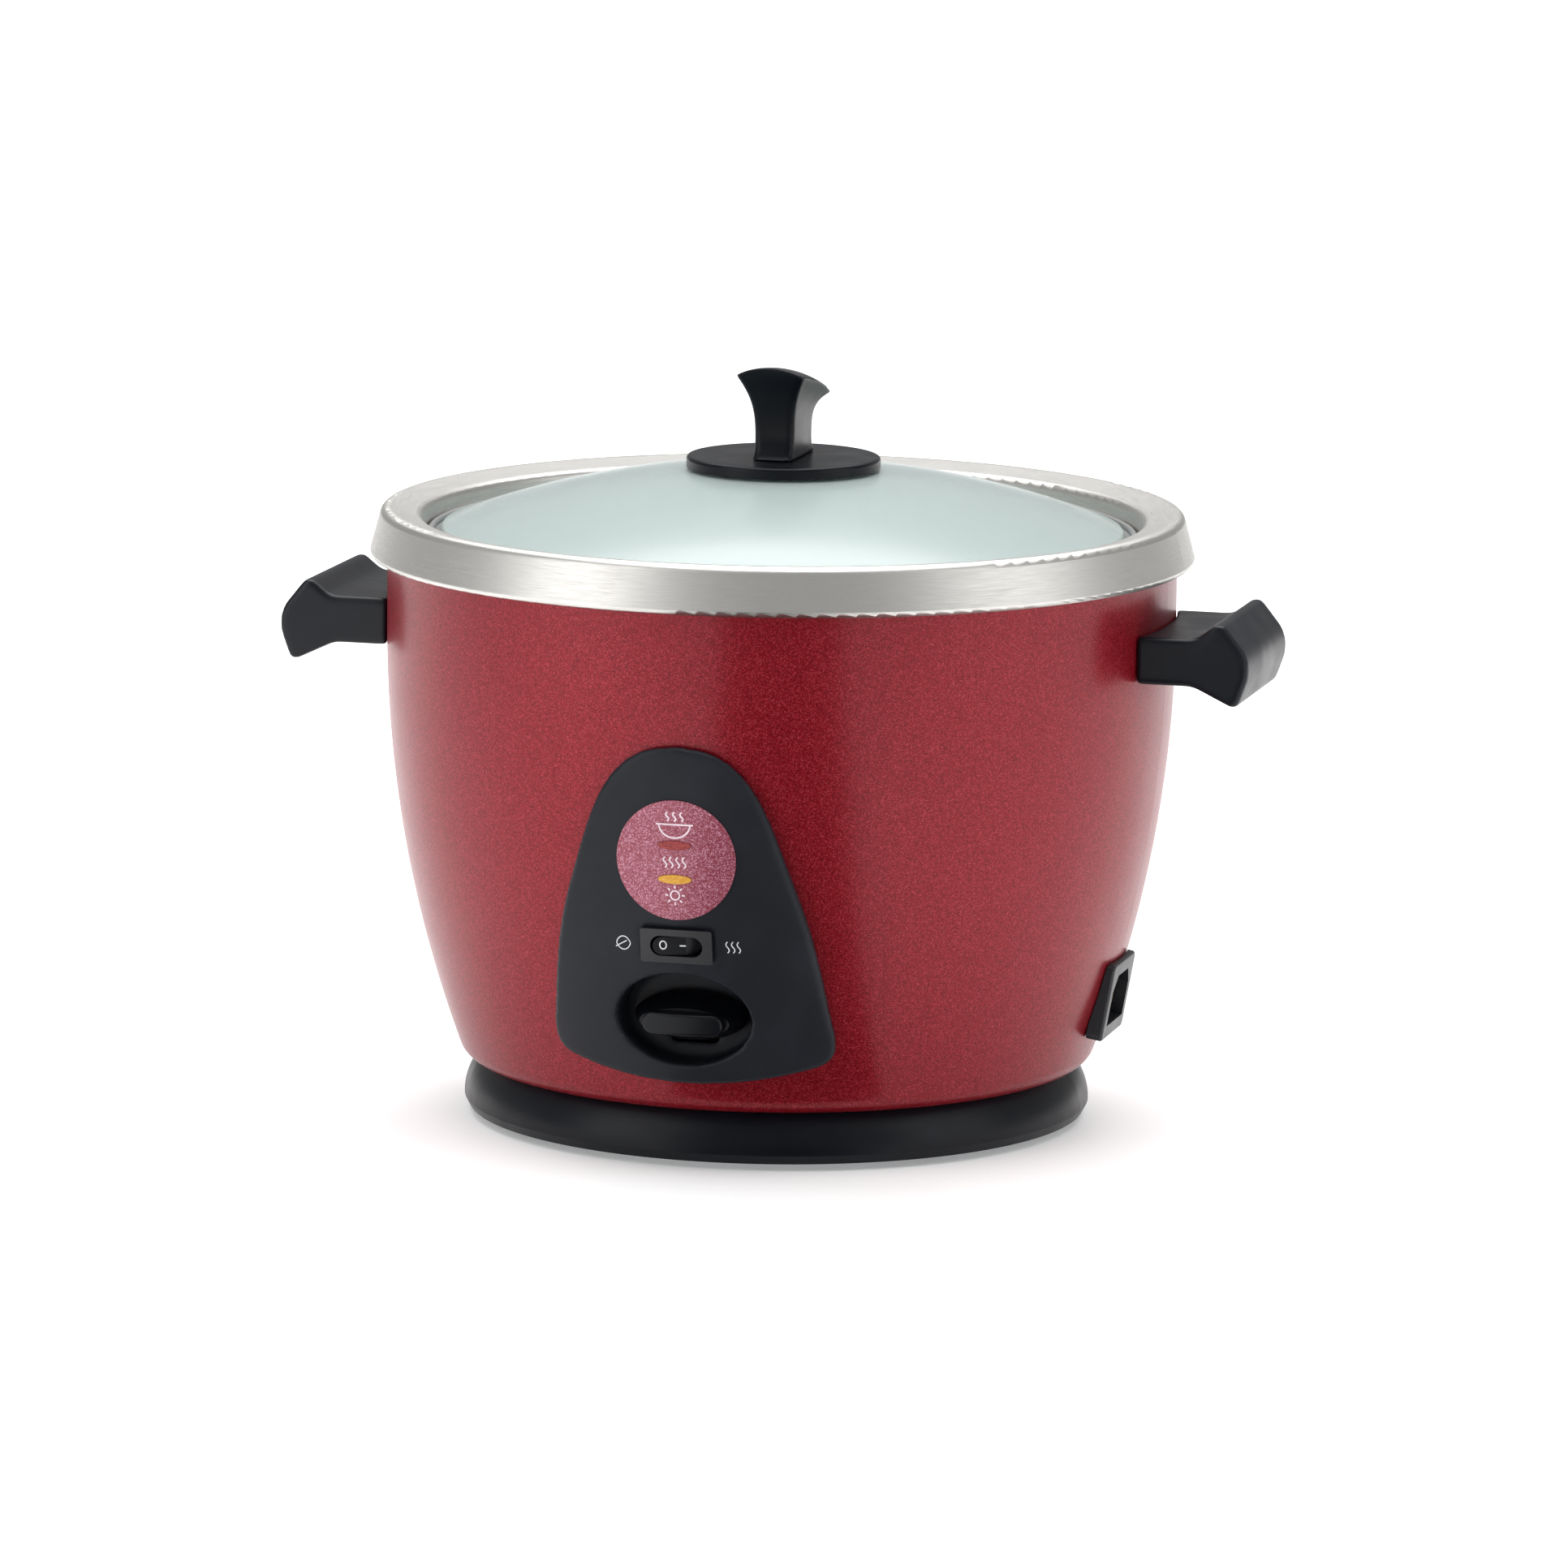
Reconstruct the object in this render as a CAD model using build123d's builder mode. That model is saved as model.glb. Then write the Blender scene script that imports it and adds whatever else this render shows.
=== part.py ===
"""Conventional rice cooker: lift-off glass lid and pot, cook lever, rocker switch and mains inlet.

Frame: origin on the centre line where the feet meet the table, +Z up, millimetres.
+X runs through the mains inlet and the two handles, the control panel faces -Y.
"""

import os
from math import asin, cos, degrees, radians, sin, sqrt

from build123d import *

# ---------------------------------------------------------------- driving dimensions

# Body
BODY_R = 132.5  # outer radius of the straight upper wall
BODY_ARC_R = 405.0  # radius of the side's long curve, tangent to the straight wall
BODY_ARC_Z = 165.0  # height where the long curve starts
BODY_BOTTOM_Z = 19.2
BODY_TOP_Z = 199.0
BODY_FOOT_FILLET = 7.5
SHEET_T = 1.2  # painted shell
STEEL_T = 1.0  # rim
LINER_T = 0.8
BODY_OPEN_R = 84.0  # hole in the shell's floor

# Base
FOOT_H = 5.0
FOOT_R = 8.0
FOOT_PCD = 168.0
BASE_Z = 2.5
BASE_R = 105.5
BASE_TOP_R = 100.2
BASE_TOP_Z = 19.0
BASE_WALL = 2.6
COVER_R = 101.5
COVER_T = 1.2
COVER_SCREW_PCD = 190.0

# Rim, liner, pot and lid
RIM_EDGE_R = 138.1
RIM_EDGE_Z = 190.2
LEDGE_R = 120.3
LEDGE_Z = 193.9
LINER_R = 115.0
LINER_TOP_Z = 192.9
LINER_Z = 70.0  # middle of the liner's floor
LINER_CORNER_R = 18.0
POT_R = 111.4
POT_Z = 87.6  # middle of the pot's floor
POT_T = 1.2
BEAD_R = 118.0
BEAD_Z = 197.0
GLASS_R = 114.5
GLASS_T = 3.2
DOME_R = 320.0
DOME_TOP_Z = 220.2
DOME_CENTRE_Z = DOME_TOP_Z - DOME_R
DISC_R = 32.6
DISC_Z = 219.7
DISC_TOP_Z = 223.3

# Heating plate and thermostat
PLATE_R = 86.0
PLATE_Z = 74.0
PLATE_TOP_Z = 86.6
PLATE_BORE_R = 19.5
HEATER_R = 62.0
HEATER_TUBE_R = 4.0
SENSOR_R = 17.5
SENSOR_TOP_Z = 86.7
TUBE_R = 11.8
MAGNET_R = 7.0
MAGNET_TOP_Z = 74.7
PLATE_SCREW_PCD = 150.0

# Cook lever
LEVER_Z = 52.0  # middle of the strip, and the pivot's height
LEVER_T = 1.6
LEVER_W = 12.0
PIVOT_Y = -62.0
PIN_R = 2.0
PIN_FIT = 0.05
KEY_Z = 52.3
KEY_FRONT_Y = -126.0

# Control panel
PANEL_TOP_Z = 145.7
PANEL_FRONT = 135.6
PANEL_ARC_R = 272.0
PANEL_ARC_Z = 130.0
PANEL_AXIS_Y = -36.0
PANEL_WALL = 2.4
PANEL_STAND_OFF = 0.3  # between the panel's back edge and the shell
CUP_WALL = 1.7  # around the key's recess
LABEL_Z = 108.4
LABEL_R = 20.0
LABEL_T = 0.5
SWITCH_Z = 79.7
RECESS_Z = 53.7
RECESS_A = 22.5
RECESS_B = 15.9
RECESS_BACK_Y = -107.5

# Mains inlet
INLET_X = 118.2
INLET_Z = 45.7
INLET_LEAN = 10.0

# Handles
HANDLE_W = 63.0
HANDLE_TOP_Z = 172.9
HANDLE_BOTTOM_Z = 156.9
HANDLE_SCREW_Z = 165.0
HANDLE_SCREW_Y = 18.0

GAP = 0.1  # between pieces that are seated or screwed together


def body_radius(z, inset=0.0):
    """Radius of the painted shell at height z."""
    drop = BODY_ARC_R - sqrt(BODY_ARC_R**2 - max(BODY_ARC_Z - z, 0.0) ** 2)
    return BODY_R - drop - inset


def panel_radius(z):
    """Distance of the panel's front line from the centre line at height z."""
    return PANEL_FRONT - PANEL_ARC_R + sqrt(PANEL_ARC_R**2 - (z - PANEL_ARC_Z) ** 2)


def panel_plane(z):
    """Plane on the panel's front line, square to its surface, local y pointing up it."""
    lean = asin((PANEL_ARC_Z - z) / PANEL_ARC_R)
    origin = (0, -panel_radius(z), z)
    return Plane(origin=origin, x_dir=(1, 0, 0), z_dir=(0, -cos(lean), -sin(lean)))


def thin_wall(points, radii, thickness):
    """Revolve a wall of even thickness whose middle line runs through the (r, z) points."""
    with BuildSketch(Plane.XZ) as section:
        with BuildLine():
            FilletPolyline(*points, radius=radii)
        trace(line_width=thickness)
    revolve(section.sketch, axis=Axis.Z)


def ring(inner, outer, low, high, mode=Mode.ADD):
    """Round ring, or a disc where inner is 0."""
    with BuildSketch(Plane.XY.offset(low)) as section:
        Circle(outer)
        if inner > 0:
            Circle(inner, mode=Mode.SUBTRACT)
    extrude(section.sketch, amount=high - low, mode=mode)


def body_envelope(inset, mode=Mode.ADD):
    """The filled outer form of the painted shell, made smaller all round by inset."""
    low = BODY_BOTTOM_Z + inset
    with BuildSketch(Plane.XZ) as section:
        with BuildLine():
            arc = ThreePointArc(
                (body_radius(low, inset), low),
                (body_radius((low + BODY_ARC_Z) / 2, inset), (low + BODY_ARC_Z) / 2),
                (BODY_R - inset, BODY_ARC_Z),
            )
            Polyline(arc @ 1, (BODY_R - inset, BODY_TOP_Z), (0, BODY_TOP_Z), (0, low), arc @ 0)
        make_face()
        corner = vertices().group_by(Axis.Y)[0].sort_by(Axis.X)[-1]
        fillet(corner, BODY_FOOT_FILLET - inset)
    revolve(section.sketch, axis=Axis.Z, mode=mode)


def panel_body(inset, mode=Mode.ADD):
    """Round form that the panel's front face is cut from, made smaller by inset."""
    centre = (PANEL_FRONT - PANEL_ARC_R + PANEL_AXIS_Y, PANEL_ARC_Z)
    low, high = 26.0, 150.0
    start = degrees(asin((high - PANEL_ARC_Z) / (PANEL_ARC_R - inset)))
    end = degrees(asin((low - PANEL_ARC_Z) / (PANEL_ARC_R - inset)))
    with BuildSketch(Plane.XZ.offset(-PANEL_AXIS_Y)) as section:
        with BuildLine():
            arc = CenterArc(centre, PANEL_ARC_R - inset, start, end - start)
            Polyline(arc @ 1, (0, low), (0, high), arc @ 0)
        make_face()
    revolve(section.sketch, axis=Axis((0, PANEL_AXIS_Y, 0), (0, 0, 1)), mode=mode)


def panel_outline(inset, mode=Mode.INTERSECT):
    """Arch of the control panel, seen from the front and made smaller by inset, extruded through the panel."""
    foot = (47.5 - inset, 38.9)
    with BuildSketch(Plane.XZ.offset(150)) as section:
        with BuildLine():
            Spline(
                (0, PANEL_TOP_Z - inset),
                (25 - 0.8 * inset, 132 - 0.6 * inset),
                (35.6 - inset, 105.7),
                (43.6 - inset, 76),
                (47.3 - inset, 50),
                foot,
                tangents=((1, 0), (0, -1)),
            )
            mirror(about=Plane.YZ)
            ThreePointArc(foot, (0, 31 + inset), (-foot[0], foot[1]))
        make_face()
        fillet(vertices().group_by(Axis.Y)[0], 8 - inset)
    extrude(section.sketch, amount=-60, mode=mode)


def recess_column(grow, from_y, to_y, mode):
    """Oval column along Y for the lever's recess."""
    with BuildSketch(Plane.XZ.offset(-from_y)) as section:
        with Locations((0, RECESS_Z)):
            Ellipse(RECESS_A + grow, RECESS_B + grow)
    extrude(section.sketch, amount=from_y - to_y, mode=mode)


def box_through(plane, width, height, depth, corner=0.0, mode=Mode.SUBTRACT):
    """Rectangle on a plane, extruded along its normal by depth."""
    with BuildSketch(plane) as section:
        if corner:
            RectangleRounded(width, height, corner)
        else:
            Rectangle(width, height)
    extrude(section.sketch, amount=depth, mode=mode)


def coil_spring(low, high, mean_r, wire_r, turns):
    """Plain helical spring about the centre line."""
    with BuildLine() as route:
        Helix(pitch=(high - low) / turns, height=high - low, radius=mean_r, center=(0, 0, low))
    with BuildSketch(Plane(origin=route.line @ 0, z_dir=route.line % 0)) as section:
        Circle(wire_r)
    sweep(section.sketch, path=route.line, is_frenet=True)


def wire(points, radius, wire_r):
    """Insulated wire: straight runs joined by tangent arcs."""
    with BuildLine() as route:
        FilletPolyline(*points, radius=radius)
    with BuildSketch(Plane(origin=route.line @ 0, z_dir=route.line % 0)) as section:
        Circle(wire_r)
    sweep(section.sketch, path=route.line)


def screw(plane, head_r, head_h, shank_r, length):
    """Pan-head screw with a cross slot; the plane lies under the head, shank along -z."""
    with BuildSketch(plane) as head:
        Circle(head_r)
    extrude(head.sketch, amount=head_h)
    with BuildSketch(plane) as shank:
        Circle(shank_r)
    extrude(shank.sketch, amount=-length)
    with BuildSketch(plane.offset(head_h)) as slot:
        Rectangle(head_r * 1.1, head_r * 0.25)
        Rectangle(head_r * 0.25, head_r * 1.1)
    extrude(slot.sketch, amount=-head_h * 0.4, mode=Mode.SUBTRACT)


# ---------------------------------------------------------------- base

with BuildPart() as feet:
    with BuildSketch(Plane.XY):
        with PolarLocations(FOOT_PCD / 2, 4, start_angle=45):
            Circle(FOOT_R)
    extrude(amount=FOOT_H)
    fillet(feet.faces().sort_by(Axis.Z)[:4].edges(), 1.0)

with BuildPart() as base_ring:
    with BuildSketch(Plane.XZ):
        with BuildLine():
            side = ThreePointArc((BASE_R, 5.5), (104.5, 12.0), (BASE_TOP_R, BASE_TOP_Z))
            Polyline(
                side @ 1,
                (BODY_OPEN_R + 0.5, BASE_TOP_Z),
                (BODY_OPEN_R + 0.5, BASE_TOP_Z - BASE_WALL),
                (BASE_TOP_R - BASE_WALL - 1, BASE_TOP_Z - BASE_WALL),
                (BASE_R - BASE_WALL, 6.0),
                (BASE_R - BASE_WALL, BASE_Z),
                (BASE_R - 1.6, BASE_Z),
                side @ 0,
            )
        make_face()
    revolve(axis=Axis.Z)
    ring(COVER_SCREW_PCD / 2 - 5, BASE_R - BASE_WALL, FOOT_H + COVER_T + GAP, 9.0)
    with BuildSketch(Plane.XY.offset(BASE_Z)):
        with PolarLocations(COVER_SCREW_PCD / 2, 4):
            Circle(1.6)
    extrude(amount=9.0, mode=Mode.SUBTRACT)

with BuildPart() as bottom_cover:
    ring(0, COVER_R, FOOT_H, FOOT_H + COVER_T)
    with BuildSketch(Plane.XY.offset(FOOT_H)):
        with PolarLocations(COVER_SCREW_PCD / 2, 4):
            Circle(1.8)
        with PolarLocations(58, 12):
            SlotOverall(22, 4, rotation=90)
        with PolarLocations(34, 8):
            SlotOverall(16, 4, rotation=90)
    extrude(amount=COVER_T, mode=Mode.SUBTRACT)

with BuildPart() as cover_screws:
    for spot in PolarLocations(COVER_SCREW_PCD / 2, 4):
        under_head = Plane((spot.position.X, spot.position.Y, FOOT_H - GAP), z_dir=(0, 0, -1))
        screw(under_head, 3.4, 1.8, 1.5, 3.9)

# ---------------------------------------------------------------- painted shell

SWITCH_BODY_W, SWITCH_BODY_H = 21.6, 9.2
BEZEL_W, BEZEL_H = 24.2, 11.6
INLET_PLANE = Plane(
    origin=(INLET_X, 0, INLET_Z),
    x_dir=(0, 1, 0),
    z_dir=(cos(radians(INLET_LEAN)), 0, -sin(radians(INLET_LEAN))),
)
INLET_BODY_W, INLET_BODY_H = 27.0, 21.0

with BuildPart() as outer_shell:
    body_envelope(0)
    body_envelope(SHEET_T, mode=Mode.SUBTRACT)
    ring(0, BODY_R - SHEET_T, BODY_TOP_Z - SHEET_T - 0.5, BODY_TOP_Z, mode=Mode.SUBTRACT)
    ring(0, BODY_OPEN_R, BODY_BOTTOM_Z, BODY_BOTTOM_Z + SHEET_T, mode=Mode.SUBTRACT)
    recess_column(3.0, -90, -140, Mode.SUBTRACT)
    box_through(panel_plane(SWITCH_Z).offset(-25), SWITCH_BODY_W + 2, SWITCH_BODY_H + 2, 40)
    box_through(panel_plane(LABEL_Z).offset(-20), 26, 18, 30, corner=2)
    box_through(INLET_PLANE.offset(-15), INLET_BODY_W + 0.6, INLET_BODY_H + 0.6, 30)
    with BuildSketch(Plane.YZ):
        with Locations((HANDLE_SCREW_Y, HANDLE_SCREW_Z), (-HANDLE_SCREW_Y, HANDLE_SCREW_Z)):
            Circle(2.2)
    extrude(amount=150, both=True, mode=Mode.SUBTRACT)

with BuildPart() as rim_ring:
    thin_wall(
        (
            (133.8, RIM_EDGE_Z - 0.3),
            (RIM_EDGE_R, RIM_EDGE_Z - 0.3),
            (133.9, 205.6),
            (121.6, 202.6),
            (LEDGE_R, LEDGE_Z),
            (116.7, LEDGE_Z),
        ),
        (1.0, 2.6, 2.2, 1.2),
        STEEL_T,
    )

with BuildPart() as inner_liner:
    thin_wall(
        (
            (TUBE_R + 0.6, LINER_Z),
            (LINER_R, LINER_Z),
            (LINER_R, LINER_TOP_Z),
            (119.4, LINER_TOP_Z),
        ),
        (LINER_CORNER_R, 1.2),
        LINER_T,
    )
    with BuildSketch(Plane.XY.offset(LINER_Z - 5)):
        with PolarLocations(PLATE_SCREW_PCD / 2, 3, start_angle=30):
            Circle(2.2)
        with Locations((HEATER_R, 9), (HEATER_R, -9)):
            Circle(5.5)
        with Locations((0, -PLATE_SCREW_PCD / 2 + 13), (0, 17.5), (0, -17.5), (30, -38)):
            Circle(1.7)
    extrude(amount=10, mode=Mode.SUBTRACT)

with BuildPart() as keep_warm_band:
    ring(LINER_R + LINER_T / 2 + 0.05, LINER_R + LINER_T / 2 + 1.6, 118, 144)

# ---------------------------------------------------------------- heating plate and thermostat

with BuildPart() as heating_plate:
    with BuildSketch(Plane.XZ):
        with BuildLine():
            Polyline(
                (PLATE_BORE_R, PLATE_TOP_Z - 4),
                (PLATE_BORE_R + 1.5, PLATE_TOP_Z),
                (PLATE_R - 14, PLATE_TOP_Z),
                (PLATE_R, PLATE_TOP_Z - 1.2),
                (PLATE_R, PLATE_TOP_Z - 6.5),
                (HEATER_R + 9, PLATE_Z + 4.5),
                (HEATER_R + 8, PLATE_Z),
                (HEATER_R - 8, PLATE_Z),
                (HEATER_R - 9, PLATE_Z + 4.5),
                (PLATE_BORE_R, PLATE_Z + 4.5),
                (PLATE_BORE_R, PLATE_TOP_Z - 4),
            )
        make_face()
    revolve(axis=Axis.Z)
    with BuildSketch(Plane.XY.offset(PLATE_Z - 1)):
        with PolarLocations(PLATE_SCREW_PCD / 2, 3, start_angle=30):
            Circle(6)
    extrude(amount=7.5)
    with BuildSketch(Plane.XZ):
        with Locations((HEATER_R, PLATE_Z + 1.5)):
            Circle(HEATER_TUBE_R + GAP)
    revolve(axis=Axis.Z, mode=Mode.SUBTRACT)
    with BuildSketch(Plane.XY.offset(PLATE_Z - 2)):
        with PolarLocations(PLATE_SCREW_PCD / 2, 3, start_angle=30):
            Circle(2.1)
    extrude(amount=8.5, mode=Mode.SUBTRACT)

with BuildPart() as heater_tube:
    HEATER_OPEN = 18.0  # degrees left open at the terminals
    with BuildSketch(Plane.XZ.rotated((0, 0, HEATER_OPEN / 2))):
        with Locations((HEATER_R, PLATE_Z + 1.5)):
            Circle(HEATER_TUBE_R)
    revolve(axis=Axis.Z, revolution_arc=360 - HEATER_OPEN)

with BuildPart() as heater_terminals:
    with BuildSketch(Plane.XY.offset(60)):
        with Locations((HEATER_R, 9.0), (HEATER_R, -9.0)):
            Rectangle(1.0, 6.3)
    extrude(amount=PLATE_Z + 1.5 - HEATER_TUBE_R - GAP - 60)

with BuildPart() as plate_spacers:
    with BuildSketch(Plane.XY.offset(LINER_Z + LINER_T / 2)):
        with PolarLocations(PLATE_SCREW_PCD / 2, 3, start_angle=30):
            Circle(5)
            Circle(2.1, mode=Mode.SUBTRACT)
    extrude(amount=PLATE_Z - 1 - LINER_Z - LINER_T / 2)

with BuildPart() as plate_screws:
    for spot in PolarLocations(PLATE_SCREW_PCD / 2, 3, start_angle=30):
        top = Plane((spot.position.X, spot.position.Y, LINER_Z - LINER_T / 2 - GAP), z_dir=(0, 0, -1))
        screw(top, 4.0, 2.4, 2.0, 10)

with BuildPart() as thermostat_frame:
    FLANGE_TOP = LINER_Z - LINER_T / 2 - GAP
    ring(TUBE_R - 1.4, TUBE_R, 61.5, 78.0)
    ring(5.0, TUBE_R - 1.3, 61.5, 63.2)
    ring(MAGNET_R + 0.6, TUBE_R - 1.3, 76.8, 78.0)
    ring(TUBE_R - 0.1, 22.0, FLANGE_TOP - 1.2, FLANGE_TOP)
    with BuildSketch(Plane.XY.offset(FLANGE_TOP - 2)):
        with Locations((0, 17.5), (0, -17.5)):
            Circle(1.7)
    extrude(amount=3, mode=Mode.SUBTRACT)

with BuildPart() as thermostat_rivets:
    for side in (1, -1):
        base = Plane((0, side * 17.5, FLANGE_TOP - 1.2), z_dir=(0, 0, -1))
        with BuildSketch(base):
            Circle(3.0)
        extrude(amount=1.2)
        with BuildSketch(base):
            Circle(1.6)
        extrude(amount=-(LINER_T + 1.2 + 2 * GAP))

with BuildPart() as sensor_cup:
    with BuildSketch(Plane.XZ):
        with BuildLine():
            Polyline(
                (0, SENSOR_TOP_Z),
                (SENSOR_R, SENSOR_TOP_Z),
                (SENSOR_R, 78.5),
                (SENSOR_R - 1.2, 78.5),
                (SENSOR_R - 1.2, SENSOR_TOP_Z - 1.8),
                (0, SENSOR_TOP_Z - 1.8),
                (0, SENSOR_TOP_Z),
            )
        make_face()
        fillet(vertices().group_by(Axis.Y)[-1].sort_by(Axis.X)[-1], 1.2)
    revolve(axis=Axis.Z)

with BuildPart() as sensor_ferrite:
    ring(0, 9.5, 81.0, SENSOR_TOP_Z - 1.8)
    fillet(sensor_ferrite.faces().sort_by(Axis.Z)[0].edges(), 0.5)

with BuildPart() as sensor_spring:
    coil_spring(71.3, 84.1, 14.2, 0.7, 4)

with BuildPart() as plunger_magnet:
    ring(0, MAGNET_R, 64.0, MAGNET_TOP_Z)
    ring(0, 9.8, 64.0, 65.5)
    fillet(plunger_magnet.faces().sort_by(Axis.Z)[-1].edges(), 0.5)

with BuildPart() as plunger_stem:
    ring(0, 2.5, 49.0, 64.0)
    ring(0, 4.5, 53.9, 55.2)
    ring(0, 4.5, 49.0, 50.1)

with BuildPart() as plunger_spring:
    coil_spring(66.1, 76.2, 8.7, 0.5, 4)

# ---------------------------------------------------------------- cook lever

with BuildPart() as lever_bracket:
    top = LINER_Z - LINER_T / 2 - GAP
    with BuildSketch(Plane.XY.offset(top - 1.5)):
        with Locations((0, PIVOT_Y)):
            Rectangle(27, 14)
    extrude(amount=1.5)
    with BuildSketch(Plane.YZ.offset(-13.5)):
        with Locations((PIVOT_Y, (top + LEVER_Z - 4) / 2)):
            Rectangle(14, top - LEVER_Z + 4)
    extrude(amount=27)
    with BuildSketch(Plane.YZ.offset(-12.0)):
        with Locations((PIVOT_Y, (top - 1.5 + LEVER_Z - 6) / 2)):
            Rectangle(20, top - 1.5 - LEVER_Z + 6)
    extrude(amount=24, mode=Mode.SUBTRACT)
    with BuildSketch(Plane.YZ.offset(-20)):
        with Locations((PIVOT_Y, LEVER_Z)):
            Circle(PIN_R + PIN_FIT)
    extrude(amount=40, mode=Mode.SUBTRACT)

with BuildPart() as lever_pin:
    with BuildSketch(Plane.YZ.offset(-15.5)):
        with Locations((PIVOT_Y, LEVER_Z)):
            Circle(PIN_R)
    extrude(amount=31)
    for side in (1, -1):
        with BuildSketch(Plane.YZ.offset(side * 14.0)):
            with Locations((PIVOT_Y, LEVER_Z)):
                Circle(3.2)
        extrude(amount=side * 1.2)

with BuildPart() as cook_lever:
    with BuildSketch(Plane.XY.offset(LEVER_Z - LEVER_T / 2)):
        with Locations((0, (-118.0 + 7.0) / 2)):
            RectangleRounded(LEVER_W, 125.0, 2.5)
        with Locations((0, 2.0)):
            SlotOverall(18, 6.4, rotation=90, mode=Mode.SUBTRACT)
        with Locations((0, -92)):
            SlotOverall(20, 5, rotation=90, mode=Mode.SUBTRACT)
    extrude(amount=LEVER_T)
    with BuildSketch(Plane.YZ.offset(-11.0)):
        with Locations((PIVOT_Y, LEVER_Z)):
            Circle(4.2)
    extrude(amount=22)
    with BuildSketch(Plane.YZ.offset(-12.0)):
        with Locations((PIVOT_Y, LEVER_Z)):
            Circle(PIN_R + PIN_FIT)
    extrude(amount=24, mode=Mode.SUBTRACT)

with BuildPart() as cook_key:
    with BuildSketch(Plane.XZ.offset(110.2)):
        with Locations((0, KEY_Z + 0.7)):
            Ellipse(19.0, 8.0)
    extrude(amount=2.2)
    with BuildSketch(Plane.XZ.offset(112.4)):
        with Locations((0, KEY_Z + 0.7)):
            Ellipse(19.0, 8.0)
    with BuildSketch(Plane.XZ.offset(121.0)):
        with Locations((0, KEY_Z)):
            Ellipse(15.2, 4.6)
    loft()
    with BuildSketch(Plane.XZ.offset(112.0)):
        with Locations((0, KEY_Z)):
            SlotOverall(27.2, 7.3)
    extrude(amount=20)
    with BuildSketch(Plane.XY.offset(30)):
        with Locations((0, KEY_FRONT_Y + 60.0)):
            Circle(60.0)
    extrude(amount=50, mode=Mode.INTERSECT)
    fillet(cook_key.faces().sort_by(Axis.Y)[0].edges(), 1.2)
    with BuildSketch(Plane.XY.offset(LEVER_Z - LEVER_T / 2 - 0.05)):
        with Locations((0, -110.0)):
            Rectangle(LEVER_W + 0.1, 16.2)
    extrude(amount=LEVER_T + 0.1, mode=Mode.SUBTRACT)

with BuildPart() as contact_switch:
    with BuildSketch(Plane.XY.offset(57.5)):
        with Locations((24, -38)):
            RectangleRounded(14, 26, 1.5)
    extrude(amount=LINER_Z - LINER_T / 2 - GAP - 57.5)
    with BuildSketch(Plane.XY.offset(50)):
        with Locations((24, -30), (24, -46)):
            Circle(1.3)
    extrude(amount=30, mode=Mode.SUBTRACT)

with BuildPart() as contact_leaf:
    with BuildSketch(Plane.XY.offset(56.3)):
        with Locations((16, -38)):
            Rectangle(28, 5)
    extrude(amount=0.5)
    with BuildSketch(Plane.XY.offset(56.8)):
        with Locations((24, -38)):
            Rectangle(5, 4)
    extrude(amount=0.6)

with BuildPart() as thermal_fuse:
    with BuildSketch(Plane.XZ.offset(-40)):
        with Locations((-34, LINER_Z - LINER_T / 2 - 4.4)):
            Circle(3.2)
    extrude(amount=-24)
    with BuildSketch(Plane.XY.offset(LINER_Z - LINER_T / 2 - 5.4)):
        with Locations((-34, 52)):
            Rectangle(12, 6)
    extrude(amount=5.2)

# ---------------------------------------------------------------- control panel

LENS_A, LENS_B = 5.6, 1.5
LENS_RISE = 5.2
LENS_DROP = -6.2

with BuildPart() as panel_front:
    panel_body(0)
    panel_outline(0)
    body_envelope(-PANEL_STAND_OFF, mode=Mode.SUBTRACT)

with BuildPart() as panel_cavity:
    panel_body(PANEL_WALL)
    panel_outline(PANEL_WALL)
    recess_column(CUP_WALL + 0.3, -90, -150, Mode.SUBTRACT)

with BuildPart() as recess_cup:
    recess_column(CUP_WALL, RECESS_BACK_Y + 1.5, -124, Mode.ADD)
    panel_body(PANEL_WALL / 2, mode=Mode.INTERSECT)

with BuildPart() as control_panel:
    add(panel_front.part)
    add(panel_cavity.part, mode=Mode.SUBTRACT)
    add(recess_cup.part)
    recess_column(0, RECESS_BACK_Y, -150, Mode.SUBTRACT)
    box_through(Plane((0, -100, 50.5), x_dir=(1, 0, 0), z_dir=(0, -1, 0)), LEVER_W + 4, 14, 20)
    box_through(panel_plane(SWITCH_Z).offset(-20), SWITCH_BODY_W + 0.4, SWITCH_BODY_H + 0.4, 30)
    box_through(panel_plane(SWITCH_Z).offset(-1.2), BEZEL_W + 0.2, BEZEL_H + 0.2, 10, corner=1.0)
    with BuildSketch(panel_plane(LABEL_Z).offset(-10)):
        with Locations((0, LENS_RISE), (0, LENS_DROP)):
            Ellipse(LENS_A + GAP, LENS_B + GAP)
    extrude(amount=20, mode=Mode.SUBTRACT)

with BuildPart() as panel_label:
    panel_body(-LABEL_T)
    with BuildSketch(panel_plane(LABEL_Z).offset(-10)):
        Circle(LABEL_R)
        with Locations((0, LENS_RISE), (0, LENS_DROP)):
            Ellipse(LENS_A + GAP, LENS_B + GAP, mode=Mode.SUBTRACT)
    extrude(amount=20, mode=Mode.INTERSECT)
    panel_body(0, mode=Mode.SUBTRACT)


def lamp_lens(rise):
    """Oval light window through the label and the panel, standing a little proud."""
    panel_body(-LABEL_T - 0.4)
    with BuildSketch(panel_plane(LABEL_Z).offset(-5)) as section:
        with Locations((0, rise)):
            Ellipse(LENS_A, LENS_B)
    extrude(section.sketch, amount=20, mode=Mode.INTERSECT)


with BuildPart() as lamp_lens_cook:
    lamp_lens(LENS_RISE)

with BuildPart() as lamp_lens_warm:
    lamp_lens(LENS_DROP)

LAMP_PLANE = panel_plane(LABEL_Z).offset(-12.5)

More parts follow.
